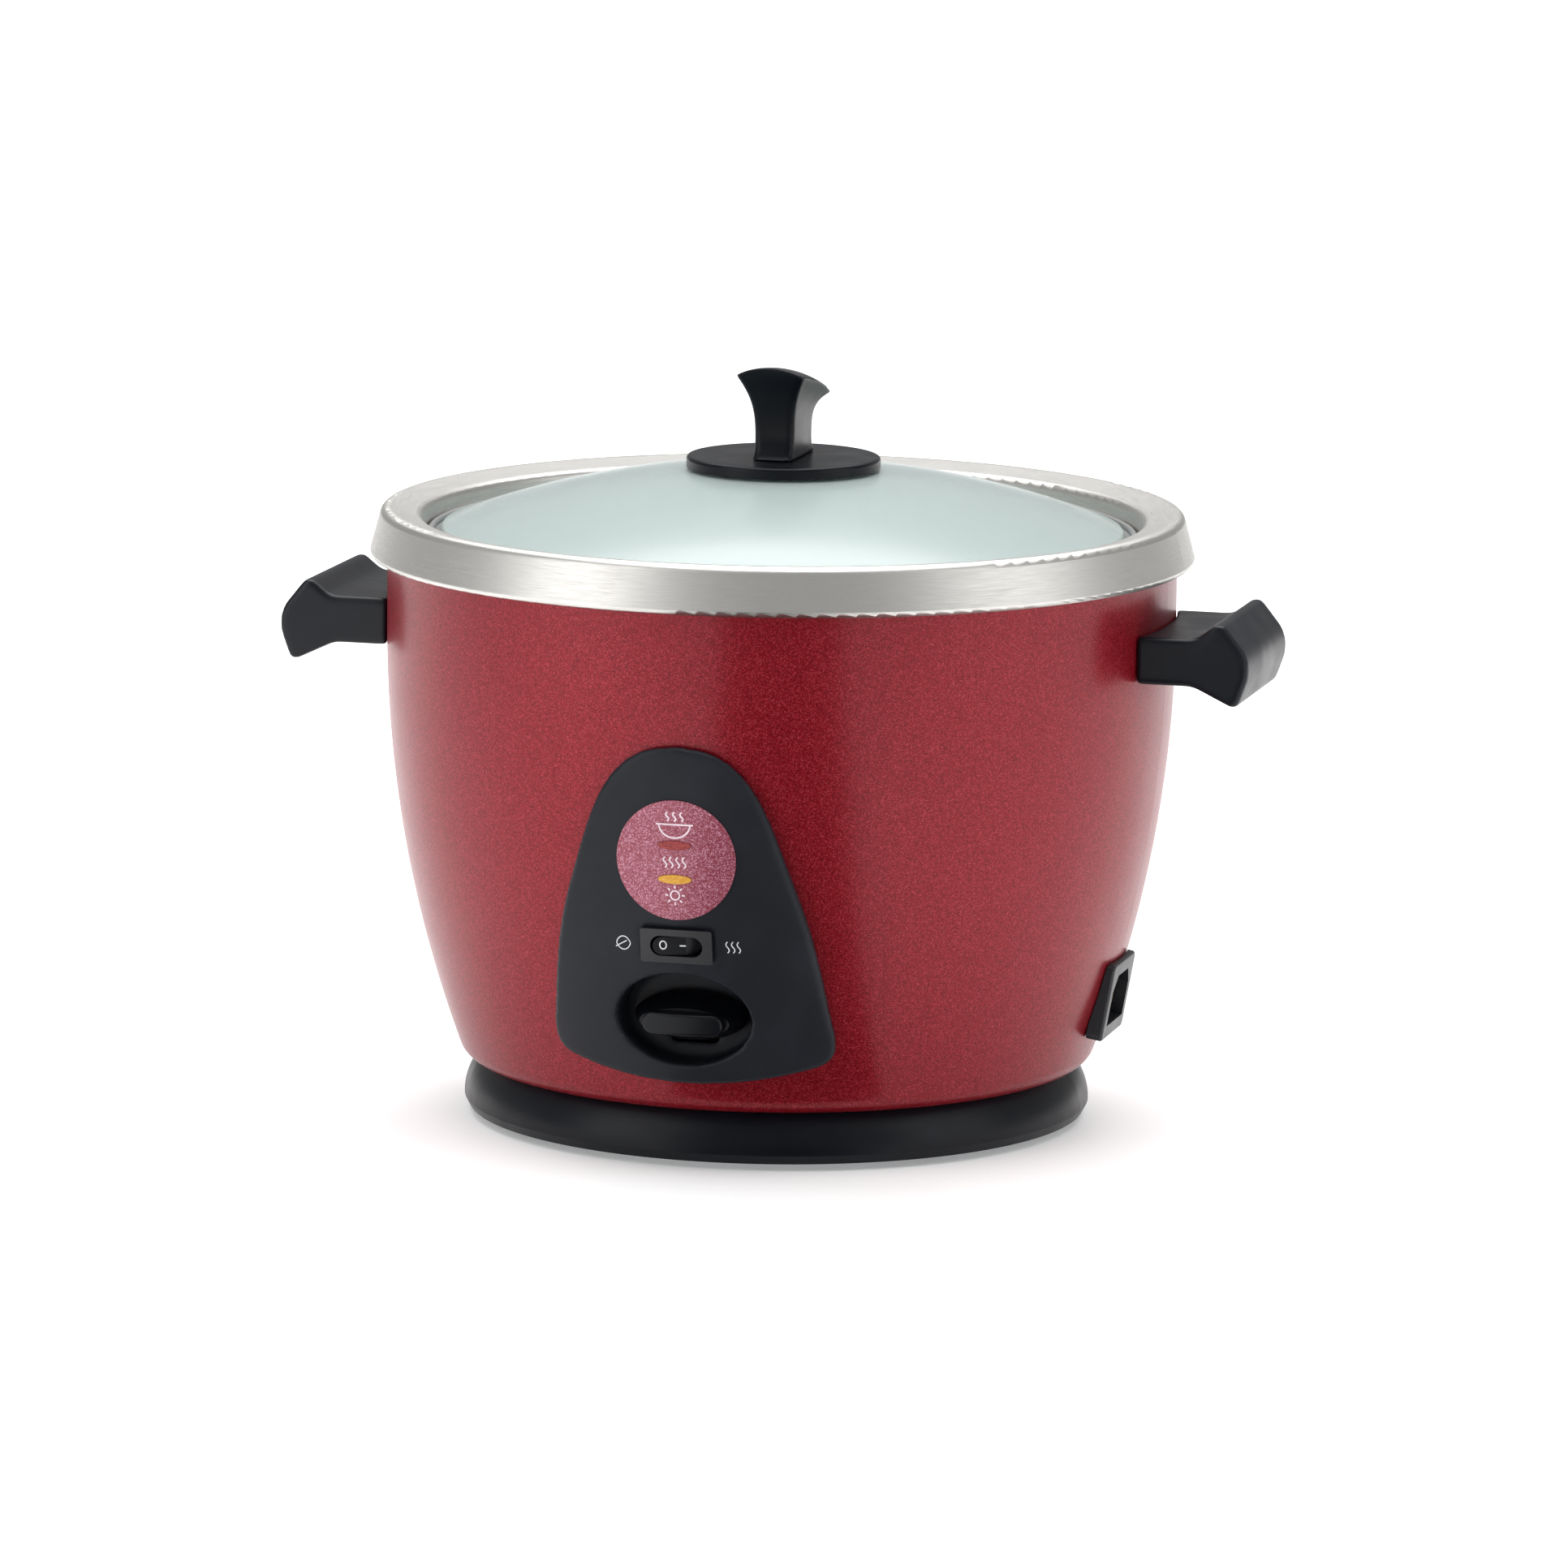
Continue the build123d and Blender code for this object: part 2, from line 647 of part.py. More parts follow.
with BuildPart() as lamp_board:
    box_through(LAMP_PLANE, 24, 16, -1.4, corner=1, mode=Mode.ADD)

with BuildPart() as neon_lamps:
    for rise in (LENS_RISE, LENS_DROP):
        with BuildSketch(LAMP_PLANE):
            with Locations((0, rise)):
                SlotOverall(10, 3.6)
        extrude(amount=5.5)

with BuildPart() as switch_housing:
    face = panel_plane(SWITCH_Z)
    box_through(face.offset(-1.2), BEZEL_W, BEZEL_H, 2.4, corner=0.9, mode=Mode.ADD)
    box_through(face.offset(-11.0), SWITCH_BODY_W, SWITCH_BODY_H, 10.0, mode=Mode.ADD)
    with BuildSketch(face.offset(-9.0)):
        SlotOverall(17.6, 7.0)
    extrude(amount=15, mode=Mode.SUBTRACT)

with BuildPart() as switch_rocker:
    face = panel_plane(SWITCH_Z)
    with BuildSketch(face.offset(-6.5)):
        SlotOverall(15.6, 6.2)
    extrude(amount=9.5)
    side_view = Plane(origin=face.origin, x_dir=face.x_dir, z_dir=-face.y_dir)
    with BuildSketch(side_view):
        with BuildLine():
            Polyline(
                (-8.0, 1.7),
                (3.0, 0.1),
                (8.0, -3.4),
                (7.4, -5.0),
                (4.0, -6.5),
                (-4.0, -6.5),
                (-7.4, -4.5),
                (-8.0, 1.7),
            )
        make_face()
    extrude(amount=4, both=True, mode=Mode.INTERSECT)

with BuildPart() as switch_terminals:
    with BuildSketch(panel_plane(SWITCH_Z).offset(-11.0)):
        with Locations((-7, 0), (0, 0), (7, 0)):
            Rectangle(0.8, 4.8)
    extrude(amount=-2.6)

# ---------------------------------------------------------------- mains inlet

with BuildPart() as inlet_housing:
    box_through(INLET_PLANE.offset(-5.5), 31.6, 26.6, 5.5, corner=2.2, mode=Mode.ADD)
    fillet(inlet_housing.faces().sort_by(Axis.X)[-1].edges(), 1.0)
    body_envelope(-0.3, mode=Mode.SUBTRACT)
    box_through(INLET_PLANE.offset(-19), INLET_BODY_W, INLET_BODY_H, 17.5, mode=Mode.ADD)
    with BuildSketch(INLET_PLANE):
        with BuildLine():
            Polyline(
                (-11.6, -8.4),
                (11.6, -8.4),
                (11.6, 3.4),
                (7.2, 8.6),
                (-7.2, 8.6),
                (-11.6, 3.4),
                (-11.6, -8.4),
            )
        make_face()
    extrude(amount=-16.5, mode=Mode.SUBTRACT)

with BuildPart() as inlet_pins:
    with BuildSketch(INLET_PLANE.offset(-16.5)):
        with Locations((-7, -2.2), (7, -2.2), (0, 2.4)):
            RectangleRounded(2.0, 4.6, 0.6)
    extrude(amount=13.0)
    with BuildSketch(INLET_PLANE.offset(-19)):
        with Locations((-7, -2.2), (7, -2.2), (0, 2.4)):
            Rectangle(0.8, 4.8)
    extrude(amount=-6)

# ---------------------------------------------------------------- handles


def handle(side):
    """Arm, flared crest and drooping grip lip; side is 1 for +X and -1 for -X."""
    outline = (
        (118.0, HANDLE_TOP_Z),
        (149.0, HANDLE_TOP_Z),
        (157.0, 179.4),
        (167.0, 167.0),
        (166.6, 160.0),
        (162.9, 149.8),
        (148.0, HANDLE_BOTTOM_Z),
        (118.0, HANDLE_BOTTOM_Z),
    )
    radii = (1.0, 7.0, 3.0, 12.0, 12.0, 2.2, 8.0, 1.0)
    with BuildSketch(Plane.XZ) as profile:
        with BuildLine():
            FilletPolyline(*[(side * x, z) for x, z in outline], radius=radii, close=True)
        make_face()
    extrude(profile.sketch, amount=HANDLE_W / 2, both=True)
    ends = faces().filter_by(Axis.Y)
    fillet(ends.edges(), 1.3)
    ring(0, BODY_R + 0.2, 140, 190, mode=Mode.SUBTRACT)
    with BuildSketch(Plane.YZ) as holes:
        with Locations((HANDLE_SCREW_Y, HANDLE_SCREW_Z), (-HANDLE_SCREW_Y, HANDLE_SCREW_Z)):
            Circle(2.1)
    extrude(holes.sketch, amount=side * 147, mode=Mode.SUBTRACT)


with BuildPart() as handle_right:
    handle(1)

with BuildPart() as handle_left:
    handle(-1)

with BuildPart() as handle_screws:
    for side in (1, -1):
        for y in (HANDLE_SCREW_Y, -HANDLE_SCREW_Y):
            under_head = Plane((side * 128.9, y, HANDLE_SCREW_Z), z_dir=(-side, 0, 0))
            screw(under_head, 3.8, 2.4, 2.0, 17)

# ---------------------------------------------------------------- pot

with BuildPart() as inner_pot:
    thin_wall(
        (
            (0, POT_Z),
            (POT_R, POT_Z),
            (POT_R, 191.6),
            (112.6, 193.6),
            (117.3, 195.9),
        ),
        (16.0, 2.0, 2.0),
        POT_T,
    )
    with BuildSketch(Plane.XZ):
        with Locations((BEAD_R, BEAD_Z)):
            Circle(1.2)
    revolve(axis=Axis.Z)

# ---------------------------------------------------------------- lid

VENT_Y = 64.0
VENT_R = 2.6
VENT_TILT = degrees(asin(VENT_Y / DOME_R))
VENT_TOP = Plane(
    origin=(0, VENT_Y, DOME_CENTRE_Z + sqrt(DOME_R**2 - VENT_Y**2)),
    z_dir=(0, sin(radians(VENT_TILT)), cos(radians(VENT_TILT))),
)

with BuildPart() as lid_glass:
    with BuildSketch(Plane.XZ):
        with BuildLine():
            top_arc = CenterArc((0, DOME_CENTRE_Z), DOME_R, 90, -degrees(asin(GLASS_R / DOME_R)))
            low_r = DOME_R - GLASS_T
            low_arc = CenterArc((0, DOME_CENTRE_Z), low_r, 90, -degrees(asin(GLASS_R / low_r)))
            Line(top_arc @ 0, low_arc @ 0)
            Line(top_arc @ 1, low_arc @ 1)
        make_face()
        fillet(vertices().group_by(Axis.X)[-1], 1.2)
    revolve(axis=Axis.Z)
    with BuildSketch(Plane.XY.offset(190)):
        Circle(2.9)
    extrude(amount=40, mode=Mode.SUBTRACT)
    with BuildSketch(VENT_TOP.offset(-10)):
        Circle(VENT_R + GAP)
    extrude(amount=20, mode=Mode.SUBTRACT)

with BuildPart() as steam_vent:
    with BuildSketch(VENT_TOP.offset(0.15)):
        Circle(5.0)
    extrude(amount=0.9)
    fillet(steam_vent.faces().sort_by(Axis.Z)[-1].edges(), 0.4)
    with BuildSketch(VENT_TOP.offset(-GLASS_T - 0.2)):
        Circle(VENT_R - 0.35)
    extrude(amount=GLASS_T + 1.0)
    with BuildSketch(VENT_TOP.offset(-GLASS_T - 0.9)):
        Circle(4.2)
    extrude(amount=0.7)
    with BuildSketch(VENT_TOP.offset(-10)):
        Circle(1.5)
    extrude(amount=20, mode=Mode.SUBTRACT)

with BuildPart() as knob_disc:
    ring(2.6, DISC_R, DISC_Z - 1.0, DISC_TOP_Z)
    fillet(knob_disc.faces().sort_by(Axis.Z)[-1].outer_wire().edges(), 1.2)
    with BuildSketch(Plane.XZ):
        with BuildLine():
            dome = CenterArc((0, DOME_CENTRE_Z), DOME_R + 0.15, 90, -degrees(asin(20 / DOME_R)))
            Polyline(dome @ 1, (60, DISC_Z), (60, 200), (0, 200), dome @ 0)
        make_face()
    revolve(axis=Axis.Z, mode=Mode.SUBTRACT)

# height, lean in degrees, half width, half length of the grip's level cuts
GRIP_CUTS = (
    (223.4, 0, 7.0, 16.3),
    (226.2, 0, 6.7, 14.4),
    (231.0, -1, 6.8, 13.4),
    (238.0, -5, 7.2, 14.3),
    (243.5, -10, 8.9, 17.0),
    (248.0, -14, 11.9, 21.0),
    (254.0, -15, 13.2, 23.0),
)
GRIP_EDGE_Z = 247.3
GRIP_LEAN = radians(14)
CROWN_RISE = 4.8
CROWN_R = 123.4
CROWN_CROSS_R = 24.7

with BuildPart() as knob_grip:
    for height, lean, half_w, half_l in GRIP_CUTS:
        with BuildSketch(Plane(origin=(0, -0.6, height)).rotated((lean, 0, 0))):
            RectangleRounded(2 * half_w, 2 * half_l, 2.2)
    loft()
    up = Vector(0, sin(GRIP_LEAN), cos(GRIP_LEAN))
    crown_top = Vector(0, -0.6, GRIP_EDGE_Z) + up * CROWN_RISE
    across = Plane(origin=crown_top, x_dir=(1, 0, 0), z_dir=up.cross(Vector(1, 0, 0)))
    with BuildSketch(across):
        with BuildLine():
            reach = 16.0
            fall = CROWN_CROSS_R - sqrt(CROWN_CROSS_R**2 - reach**2)
            flip = 1 if across.y_dir.Z > 0 else -1
            crown = ThreePointArc((-reach, -flip * fall), (0, 0), (reach, -flip * fall))
            Polyline(crown @ 1, (reach, -flip * 110), (-reach, -flip * 110), crown @ 0)
        make_face()
    revolve(axis=Axis(crown_top - up * CROWN_R, (1, 0, 0)), mode=Mode.INTERSECT)
    with BuildSketch(Plane.XY.offset(223)):
        Circle(2.5)
    extrude(amount=16, mode=Mode.SUBTRACT)

with BuildPart() as knob_washer:
    ring(2.7, 9.0, 215.3, 216.7)

with BuildPart() as knob_screw:
    screw(Plane((0, 0, 215.2), z_dir=(0, 0, -1)), 5.4, 2.6, 2.4, 22)

# ---------------------------------------------------------------- internal wiring

with BuildPart() as live_wire:
    wire(((90, -7.5, 40.5), (80, -9, 34), (60, -24, 28), (38, -36, 34), (24, -40, 46), (24, -44, 56)), 6, 1.2)

with BuildPart() as neutral_wire:
    wire(((90, 7.5, 40.5), (82, 8.5, 34), (72, 14, 32), (63, 16, 40), (62, 10, 58)), 4, 1.2)

with BuildPart() as earth_wire:
    wire(((90, 0, 46), (78, 1, 40), (50, 12, 28), (20, 34, 34), (-6, 40, 50), (-10, 42, 67)), 6, 1.2)

# ---------------------------------------------------------------- export

NODES = {
    "feet": feet,
    "base_ring": base_ring,
    "bottom_cover": bottom_cover,
    "cover_screws": cover_screws,
    "outer_shell": outer_shell,
    "rim_ring": rim_ring,
    "inner_liner": inner_liner,
    "keep_warm_band": keep_warm_band,
    "heating_plate": heating_plate,
    "heater_tube": heater_tube,
    "heater_terminals": heater_terminals,
    "plate_spacers": plate_spacers,
    "plate_screws": plate_screws,
    "thermostat_frame": thermostat_frame,
    "thermostat_rivets": thermostat_rivets,
    "sensor_cup": sensor_cup,
    "sensor_ferrite": sensor_ferrite,
    "sensor_spring": sensor_spring,
    "plunger_magnet": plunger_magnet,
    "plunger_stem": plunger_stem,
    "plunger_spring": plunger_spring,
    "lever_bracket": lever_bracket,
    "lever_pin": lever_pin,
    "cook_lever": cook_lever,
    "cook_key": cook_key,
    "contact_switch": contact_switch,
    "contact_leaf": contact_leaf,
    "thermal_fuse": thermal_fuse,
    "control_panel": control_panel,
    "panel_label": panel_label,
    "lamp_lens_cook": lamp_lens_cook,
    "lamp_lens_warm": lamp_lens_warm,
    "lamp_board": lamp_board,
    "neon_lamps": neon_lamps,
    "switch_housing": switch_housing,
    "switch_rocker": switch_rocker,
    "switch_terminals": switch_terminals,
    "inlet_housing": inlet_housing,
    "inlet_pins": inlet_pins,
    "handle_right": handle_right,
    "handle_left": handle_left,
    "handle_screws": handle_screws,
    "inner_pot": inner_pot,
    "lid_glass": lid_glass,
    "steam_vent": steam_vent,
    "knob_disc": knob_disc,
    "knob_grip": knob_grip,
    "knob_washer": knob_washer,
    "knob_screw": knob_screw,
    "live_wire": live_wire,
    "neutral_wire": neutral_wire,
    "earth_wire": earth_wire,
}

os.makedirs("parts", exist_ok=True)
for name, piece in NODES.items():
    piece.part.label = name
    export_step(piece.part, f"parts/{name}.step")
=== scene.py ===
"""Looks of a conventional rice cooker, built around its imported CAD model. Units are metres."""

import math

import bmesh
import bpy
from mathutils import Matrix, Vector
from mathutils.bvhtree import BVHTree


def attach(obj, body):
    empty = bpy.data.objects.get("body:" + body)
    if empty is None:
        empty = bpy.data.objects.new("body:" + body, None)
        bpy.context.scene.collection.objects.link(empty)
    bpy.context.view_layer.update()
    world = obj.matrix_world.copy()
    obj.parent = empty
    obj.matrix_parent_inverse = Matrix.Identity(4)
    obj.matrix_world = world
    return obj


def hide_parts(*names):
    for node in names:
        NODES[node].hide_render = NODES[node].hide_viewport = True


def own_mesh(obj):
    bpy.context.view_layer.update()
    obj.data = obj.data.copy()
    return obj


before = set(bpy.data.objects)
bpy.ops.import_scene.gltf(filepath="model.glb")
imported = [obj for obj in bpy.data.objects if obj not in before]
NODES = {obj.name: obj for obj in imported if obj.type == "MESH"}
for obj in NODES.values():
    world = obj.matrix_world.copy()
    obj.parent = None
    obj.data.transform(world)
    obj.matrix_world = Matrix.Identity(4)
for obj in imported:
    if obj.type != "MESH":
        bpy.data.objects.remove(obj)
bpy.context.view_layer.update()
MM = 0.001

# ---------------------------------------------------------------- material helpers


def srgb(red, green, blue):
    """Linear colour with alpha, from display values of 0 to 255."""
    def linear(value):
        value /= 255
        return value / 12.92 if value <= 0.04045 else ((value + 0.055) / 1.055) ** 2.4

    return linear(red), linear(green), linear(blue), 1.0


class Finish:
    """A Principled material, with short ways to add detail to its colour, roughness and surface."""

    def __init__(self, name, colour, roughness, **sockets):
        self.material = bpy.data.materials.new(name)
        self.material.use_nodes = True
        self.nodes = self.material.node_tree.nodes
        self.links = self.material.node_tree.links
        self.shader = self.nodes["Principled BSDF"]
        self.colour = colour
        self.roughness = roughness
        self.shader.inputs["Base Color"].default_value = colour
        self.shader.inputs["Roughness"].default_value = roughness
        for socket, value in sockets.items():
            self.shader.inputs[socket.replace("_", " ")].default_value = value
        self.place = self.nodes.new("ShaderNodeTexCoord").outputs["Object"]
        self.normal = None

    def noise(self, scale, detail=3.0, vector=None, w=None):
        """Noise texture's value; scale is in cycles per metre unless a vector is given."""
        node = self.nodes.new("ShaderNodeTexNoise")
        node.inputs["Scale"].default_value = scale
        node.inputs["Detail"].default_value = detail
        self.links.new(vector or self.place, node.inputs["Vector"])
        if w is not None:
            node.noise_dimensions = "4D"
            self.links.new(w, node.inputs["W"])
        return node.outputs["Fac"]

    def cells(self, scale):
        """Random value for each cell of a Voronoi texture, scale in cells per metre."""
        node = self.nodes.new("ShaderNodeTexVoronoi")
        node.inputs["Scale"].default_value = scale
        self.links.new(self.place, node.inputs["Vector"])
        separate = self.nodes.new("ShaderNodeSeparateColor")
        self.links.new(node.outputs["Color"], separate.inputs["Color"])
        return separate.outputs["Red"]

    def calculate(self, operation, first, second=None):
        """Result of a Math node on one or two numbers or sockets."""
        node = self.nodes.new("ShaderNodeMath")
        node.operation = operation
        for socket, value in zip(node.inputs, (first, second)):
            if isinstance(value, (int, float)):
                socket.default_value = value
            elif value is not None:
                self.links.new(value, socket)
        return node.outputs[0]

    def remap(self, value, low, high, start=0.0, end=1.0):
        """The value's range start to end, mapped onto low to high."""
        node = self.nodes.new("ShaderNodeMapRange")
        self.links.new(value, node.inputs["Value"])
        for socket, number in (("From Min", start), ("From Max", end), ("To Min", low), ("To Max", high)):
            node.inputs[socket].default_value = number
        return node.outputs["Result"]

    def spun(self, across, around):
        """Noise drawn out round the Z axis, as brushing on a turned or spun part leaves it."""
        axes = self.nodes.new("ShaderNodeSeparateXYZ")
        self.links.new(self.place, axes.inputs["Vector"])
        x, y, z = axes.outputs
        squares = self.calculate("MULTIPLY", x, x), self.calculate("MULTIPLY", y, y)
        radius = self.calculate("SQRT", self.calculate("ADD", *squares))
        joined = self.nodes.new("ShaderNodeCombineXYZ")
        self.links.new(self.calculate("MULTIPLY", radius, across), joined.inputs["X"])
        self.links.new(self.calculate("MULTIPLY", z, across), joined.inputs["Y"])
        cosine = self.calculate("DIVIDE", x, radius)
        self.links.new(self.calculate("MULTIPLY", cosine, around), joined.inputs["Z"])
        turn = self.calculate("MULTIPLY", self.calculate("DIVIDE", y, radius), around)
        return self.noise(1.0, detail=4.0, vector=joined.outputs["Vector"], w=turn)

    def stretched(self, x, y, z, detail=3.0):
        """Noise with its own scale along each axis."""
        node = self.nodes.new("ShaderNodeMapping")
        node.inputs["Scale"].default_value = (x, y, z)
        self.links.new(self.place, node.inputs["Vector"])
        return self.noise(1.0, detail=detail, vector=node.outputs["Vector"])

    def tint(self, value, other, low=0.3, high=0.7):
        """Mixes the base colour towards another where the value goes from low to high."""
        node = self.nodes.new("ShaderNodeMix")
        node.data_type = "RGBA"
        self.links.new(self.remap(value, 0.0, 1.0, low, high), node.inputs["Factor"])
        source = self.shader.inputs["Base Color"]
        if source.is_linked:
            self.links.new(source.links[0].from_socket, node.inputs["A"])
        else:
            node.inputs["A"].default_value = self.colour
        node.inputs["B"].default_value = other
        self.links.new(node.outputs["Result"], source)
        return self

    def worn(self, value, spread):
        """Roughness that wanders by spread either side of its middle value."""
        low, high = self.roughness - spread, self.roughness + spread
        self.links.new(self.remap(value, low, high, 0.3, 0.7), self.shader.inputs["Roughness"])
        return self

    def bump(self, value, height, strength=1.0):
        """Relief from a value, height in metres."""
        node = self.nodes.new("ShaderNodeBump")
        node.inputs["Strength"].default_value = strength
        node.inputs["Distance"].default_value = height
        self.links.new(value, node.inputs["Height"])
        if self.normal is not None:
            self.links.new(self.normal, node.inputs["Normal"])
        self.normal = node.outputs["Normal"]
        self.links.new(self.normal, self.shader.inputs["Normal"])
        return self


def scaled(colour, factor):
    """Darker or lighter version of a colour."""
    return tuple(channel * factor for channel in colour[:3]) + (1.0,)


# ---------------------------------------------------------------- materials


def red_paint():
    """Metallic paint under a soft clear coat, with flakes a few tenths of a millimetre across."""
    base = (0.205, 0.0018, 0.0075, 1.0)
    bright_flake = (0.36, 0.030, 0.045, 1.0)
    dark_flake = (0.12, 0.001, 0.005, 1.0)
    paint = Finish(
        "red_paint",
        base,
        0.44,
        Metallic=0.40,
        Specular_IOR_Level=0.05,
        Coat_Weight=0.46,
        Coat_Roughness=0.22,
    )
    paint.tint(paint.cells(3300), bright_flake, low=0.50, high=1.0)
    paint.tint(paint.cells(2600), dark_flake, low=0.60, high=1.0)
    paint.worn(paint.noise(35, 2.0), spread=0.03)
    paint.bump(paint.noise(1900, 2.0), height=0.04 * MM, strength=0.35)
    return paint.bump(paint.noise(60, 1.0), height=0.2 * MM, strength=0.10)


def brushed_steel(name, colour, roughness, across=5200, around=16):
    """Steel brushed in lines round the Z axis."""
    steel = Finish(name, colour, roughness, Metallic=1.0, Anisotropic=0.35)
    lines = steel.spun(across, around)
    steel.tint(lines, scaled(colour, 0.80), low=0.35, high=0.75)
    steel.worn(lines, spread=0.07)
    return steel.bump(lines, height=0.012 * MM, strength=0.6)


def satin_plastic(name, colour, roughness, grain=2600, height=0.03 * MM, specular=0.5):
    """Moulded plastic with a fine eroded grain."""
    plastic = Finish(name, colour, roughness, Specular_IOR_Level=specular)
    plastic.tint(plastic.noise(45, 3.0), scaled(colour, 1.25), low=0.45, high=0.75)
    plastic.worn(plastic.noise(70, 3.0), spread=0.05)
    return plastic.bump(plastic.noise(grain, 2.0), height, strength=0.35)


def sheet_metal(name, colour, roughness, patches=110, contrast=0.82):
    """Plated sheet with faint patches and fine scratches."""
    metal = Finish(name, colour, roughness, Metallic=1.0)
    metal.tint(metal.cells(patches), scaled(colour, contrast), low=0.3, high=1.0)
    metal.worn(metal.noise(240, 3.0), spread=0.08)
    return metal.bump(metal.stretched(3000, 240, 3000), height=0.015 * MM, strength=0.4)


def cast_aluminium():
    """Grey casting with a fine sandy skin."""
    cast = Finish("cast_aluminium", srgb(178, 180, 182), 0.42, Metallic=1.0)
    cast.tint(cast.noise(700, 4.0), srgb(146, 148, 150), low=0.4, high=0.7)
    return cast.bump(cast.noise(1300, 3.0), height=0.08 * MM, strength=0.4)


def label_film():
    """Printed film with fine level brushing and specks of glitter."""
    film = Finish(
        "label_red",
        srgb(126, 36, 54),
        0.42,
        Metallic=0.25,
        Coat_Weight=0.5,
        Coat_Roughness=0.25,
    )
    lines = film.stretched(260, 260, 7200, 4.0)
    film.tint(lines, srgb(150, 66, 88), low=0.42, high=0.72)
    film.tint(film.cells(2900), srgb(190, 130, 150), low=0.55, high=1.0)
    return film.bump(lines, height=0.02 * MM, strength=0.3)


def tinted_lens(name, colour, glow):
    """Coloured lens with brighter streaks where its ribs gather the light."""
    lens = Finish(name, colour, 0.28, Transmission_Weight=0.25, IOR=1.49)
    lens.tint(lens.stretched(900, 900, 3200), glow, low=0.4, high=0.75)
    return lens.bump(lens.noise(1500), height=0.04 * MM, strength=0.4)


def clear_glass():
    """Toughened lid glass, faintly green, with the soft haze of washed glass."""
    glass = Finish("lid_glass", (0.72, 0.83, 0.81, 1.0), 0.20, Transmission_Weight=0.55, IOR=1.5)
    glass.worn(glass.noise(24, 3.0), spread=0.03)
    return glass.bump(glass.noise(18, 1.0), height=0.3 * MM, strength=0.05)


def drawn_aluminium(name, colour, roughness):
    """Deep-drawn pot with turning rings round the Z axis."""
    pot = Finish(name, colour, roughness, Metallic=1.0)
    rings = pot.spun(3800, 9)
    pot.tint(rings, scaled(colour, 0.84), low=0.35, high=0.75)
    pot.worn(rings, spread=0.06)
    return pot.bump(rings, height=0.015 * MM, strength=0.5)


def wire_cover(name, colour, second=None):
    """Wire insulation, with patches of a second colour on an earth wire."""
    cover = Finish(name, colour, 0.45)
    cover.tint(cover.noise(260, 3.0), scaled(colour, 0.75), low=0.4, high=0.7)
    if second:
        cover.tint(cover.noise(90), second, low=0.50, high=0.52)
    return cover.bump(cover.noise(1600, 2.0), height=0.04 * MM, strength=0.4)


def plain(name, colour, roughness, fine, height, **sockets):
    """Moulded, pressed or turned stock with mottled colour and a fine surface."""
    stock = Finish(name, colour, roughness, **sockets)
    stock.tint(stock.noise(fine / 4, 4.0), scaled(colour, 0.78), low=0.4, high=0.7)
    stock.worn(stock.noise(fine / 8, 2.0), spread=0.06)
    return stock.bump(stock.noise(fine, 3.0), height, strength=0.4)


